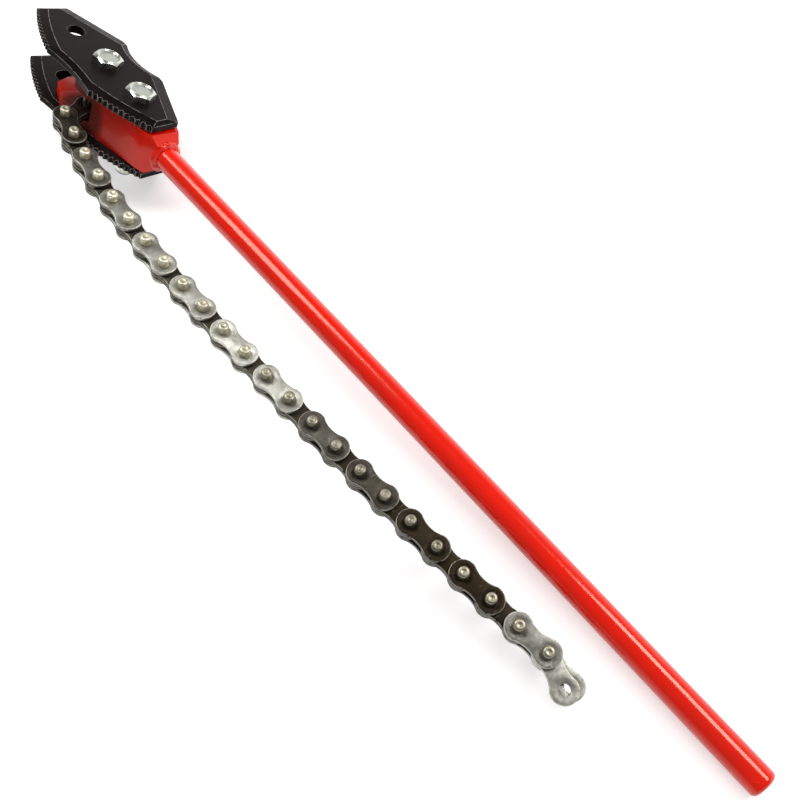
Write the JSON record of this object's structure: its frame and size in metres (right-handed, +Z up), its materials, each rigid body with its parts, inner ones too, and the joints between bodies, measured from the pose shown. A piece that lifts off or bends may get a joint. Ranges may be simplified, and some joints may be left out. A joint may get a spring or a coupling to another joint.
{
  "type": "chain pipe wrench",
  "caption": "Chain pipe wrench: long round bar handle, forked head between two double-ended toothed jaws, and a flat-link chain that wraps a pipe and hooks on the fork.",
  "frame": {"origin": "on the handle's axis, where it meets the axis of the jaws' spare bolt hole, half way between the jaws", "axes": "+Z up when the wrench lies on its side, +X along the handle to its free end, which slopes down by 2.6 degrees; the jaw bolts lean 39.5 degrees from +Z towards +Y"},
  "size_m": [0.9999, 0.1441, 0.1074],
  "materials": {
    "red_paint": "gloss red paint on forged steel",
    "black_jaw": "gloss black on hardened steel",
    "zinc": "bright zinc plate",
    "plate_steel": "satin bare steel",
    "pin_steel": "bright bare steel"
  },
  "bodies": {
    "head": {"handle": "red_paint", "upper_jaw": "black_jaw", "lower_jaw": "black_jaw", "jaw_bolts": "zinc", "jaw_nuts": "zinc", "spring_washers": "zinc", "anchor_pin": "pin_steel"},
    "anchor_link": {"anchor_plates": "plate_steel"},
    "outer_link_01": {"outer_plates_01": "plate_steel", "pins_01": "pin_steel"},
    "inner_link_01": {"inner_plates_01": "plate_steel"},
    "outer_link_02": {"outer_plates_02": "plate_steel", "pins_02": "pin_steel"},
    "inner_link_02": {"inner_plates_02": "plate_steel"},
    "outer_link_03": {"outer_plates_03": "plate_steel", "pins_03": "pin_steel"},
    "inner_link_03": {"inner_plates_03": "plate_steel"},
    "outer_link_04": {"outer_plates_04": "plate_steel", "pins_04": "pin_steel"},
    "inner_link_04": {"inner_plates_04": "plate_steel"},
    "outer_link_05": {"outer_plates_05": "plate_steel", "pins_05": "pin_steel"},
    "inner_link_05": {"inner_plates_05": "plate_steel"},
    "outer_link_06": {"outer_plates_06": "plate_steel", "pins_06": "pin_steel"},
    "inner_link_06": {"inner_plates_06": "plate_steel"},
    "outer_link_07": {"outer_plates_07": "plate_steel", "pins_07": "pin_steel"},
    "inner_link_07": {"inner_plates_07": "plate_steel"},
    "outer_link_08": {"outer_plates_08": "plate_steel", "pins_08": "pin_steel"},
    "inner_link_08": {"inner_plates_08": "plate_steel"},
    "outer_link_09": {"outer_plates_09": "plate_steel", "pins_09": "pin_steel"},
    "inner_link_09": {"inner_plates_09": "plate_steel"},
    "outer_link_10": {"outer_plates_10": "plate_steel", "pins_10": "pin_steel"},
    "inner_link_10": {"inner_plates_10": "plate_steel"},
    "outer_link_11": {"outer_plates_11": "plate_steel", "pins_11": "pin_steel"},
    "inner_link_11": {"inner_plates_11": "plate_steel"},
    "outer_link_12": {"outer_plates_12": "plate_steel", "pins_12": "pin_steel"},
    "front_end": {"front_end_plate": "plate_steel"},
    "rear_end": {"rear_end_plate": "plate_steel"}
  },
  "joints": [
    {"name": "anchor_swing", "type": "hinge", "parent": "head", "child": "anchor_link", "pos_m": [0.07451, -0.02433, 0.00956], "axis": [0.035, 0.6361, 0.7708], "range_deg": [-30, 2.5]},
    {"name": "bend_01", "type": "hinge", "parent": "anchor_link", "child": "outer_link_01", "pos_m": [0.08312, -0.04987, 0.02341], "axis": [-0.0819, -0.4842, -0.8711], "range_deg": [-2, 25]},
    {"name": "bend_02", "type": "hinge", "parent": "outer_link_01", "child": "inner_link_01", "pos_m": [0.11241, -0.05748, 0.02489], "axis": [0.0819, 0.4842, 0.8711], "range_deg": [-25, 2]},
    {"name": "bend_03", "type": "hinge", "parent": "inner_link_01", "child": "outer_link_02", "pos_m": [0.14212, -0.06344, 0.02542], "axis": [-0.077, -0.457, -0.8861], "range_deg": [-2, 25]},
    {"name": "bend_04", "type": "hinge", "parent": "outer_link_02", "child": "inner_link_02", "pos_m": [0.17207, -0.06799, 0.02516], "axis": [0.077, 0.457, 0.8861], "range_deg": [-25, 2.5]},
    {"name": "bend_05", "type": "hinge", "parent": "inner_link_02", "child": "outer_link_03", "pos_m": [0.20217, -0.07134, 0.02427], "axis": [-0.0749, -0.429, -0.9002], "range_deg": [-2.5, 25]},
    {"name": "bend_06", "type": "hinge", "parent": "outer_link_03", "child": "inner_link_03", "pos_m": [0.23235, -0.07371, 0.02289], "axis": [0.0749, 0.429, 0.9002], "range_deg": [-25, 2.5]},
    {"name": "bend_07", "type": "hinge", "parent": "inner_link_03", "child": "outer_link_04", "pos_m": [0.26256, -0.07527, 0.02112], "axis": [-0.0745, -0.4005, -0.9133], "range_deg": [-2.5, 25]},
    {"name": "bend_08", "type": "hinge", "parent": "outer_link_04", "child": "inner_link_04", "pos_m": [0.29277, -0.07617, 0.01905], "axis": [0.0745, 0.4005, 0.9133], "range_deg": [-25, 3]},
    {"name": "bend_09", "type": "hinge", "parent": "inner_link_04", "child": "outer_link_05", "pos_m": [0.32298, -0.07654, 0.01674], "axis": [-0.0754, -0.3715, -0.9254], "range_deg": [-3.5, 25]},
    {"name": "bend_10", "type": "hinge", "parent": "outer_link_05", "child": "inner_link_05", "pos_m": [0.35318, -0.07649, 0.01426], "axis": [0.0754, 0.3715, 0.9254], "range_deg": [-25, 3.5]},
    {"name": "bend_11", "type": "hinge", "parent": "inner_link_05", "child": "outer_link_06", "pos_m": [0.38336, -0.0761, 0.01165], "axis": [-0.0768, -0.3422, -0.9365], "range_deg": [-4, 25]},
    {"name": "bend_12", "type": "hinge", "parent": "outer_link_06", "child": "inner_link_06", "pos_m": [0.41354, -0.07544, 0.00894], "axis": [0.0768, 0.3422, 0.9365], "range_deg": [-25, 4.5]},
    {"name": "bend_13", "type": "hinge", "parent": "inner_link_06", "child": "outer_link_07", "pos_m": [0.44369, -0.07458, 0.00614], "axis": [-0.0787, -0.3125, -0.9467], "range_deg": [-4.5, 25]},
    {"name": "bend_14", "type": "hinge", "parent": "outer_link_07", "child": "inner_link_07", "pos_m": [0.47384, -0.07353, 0.00329], "axis": [0.0787, 0.3125, 0.9467], "range_deg": [-25, 5]},
    {"name": "bend_15", "type": "hinge", "parent": "inner_link_07", "child": "outer_link_08", "pos_m": [0.50398, -0.07234, 0.00039], "axis": [-0.0809, -0.2825, -0.9558], "range_deg": [-5.5, 25]},
    {"name": "bend_16", "type": "hinge", "parent": "outer_link_08", "child": "inner_link_08", "pos_m": [0.53411, -0.07101, -0.00255], "axis": [0.0809, 0.2825, 0.9558], "range_deg": [-25, 6]},
    {"name": "bend_17", "type": "hinge", "parent": "inner_link_08", "child": "outer_link_09", "pos_m": [0.56422, -0.06956, -0.00553], "axis": [-0.0832, -0.2523, -0.9641], "range_deg": [-7, 25]},
    {"name": "bend_18", "type": "hinge", "parent": "outer_link_09", "child": "inner_link_09", "pos_m": [0.59433, -0.06796, -0.00854], "axis": [0.0832, 0.2523, 0.9641], "range_deg": [-25, 9]},
    {"name": "bend_19", "type": "hinge", "parent": "inner_link_09", "child": "outer_link_10", "pos_m": [0.62443, -0.06621, -0.0116], "axis": [-0.0858, -0.2218, -0.9713], "range_deg": [-10, 25]},
    {"name": "bend_20", "type": "hinge", "parent": "outer_link_10", "child": "inner_link_10", "pos_m": [0.65451, -0.0643, -0.01469], "axis": [0.0858, 0.2218, 0.9713], "range_deg": [-25, 12]},
    {"name": "bend_21", "type": "hinge", "parent": "inner_link_10", "child": "outer_link_11", "pos_m": [0.68457, -0.0622, -0.01783], "axis": [-0.0887, -0.1912, -0.9775], "range_deg": [-14, 25]},
    {"name": "bend_22", "type": "hinge", "parent": "outer_link_11", "child": "inner_link_11", "pos_m": [0.71461, -0.05987, -0.02101], "axis": [0.0887, 0.1912, 0.9775], "range_deg": [-25, 18]},
    {"name": "bend_23", "type": "hinge", "parent": "inner_link_11", "child": "outer_link_12", "pos_m": [0.74463, -0.05729, -0.02424], "axis": [-0.0921, -0.1604, -0.9827], "range_deg": [-23, 25]},
    {"name": "front_end_swing", "type": "hinge", "parent": "outer_link_12", "child": "front_end", "pos_m": [0.77462, -0.05442, -0.02752], "axis": [0.0921, 0.1604, 0.9827], "range_deg": [-80, 60]},
    {"name": "rear_end_swing", "type": "hinge", "parent": "outer_link_12", "child": "rear_end", "pos_m": [0.77462, -0.05442, -0.02752], "axis": [0.0921, 0.1604, 0.9827], "range_deg": [-80, 60]}
  ]
}
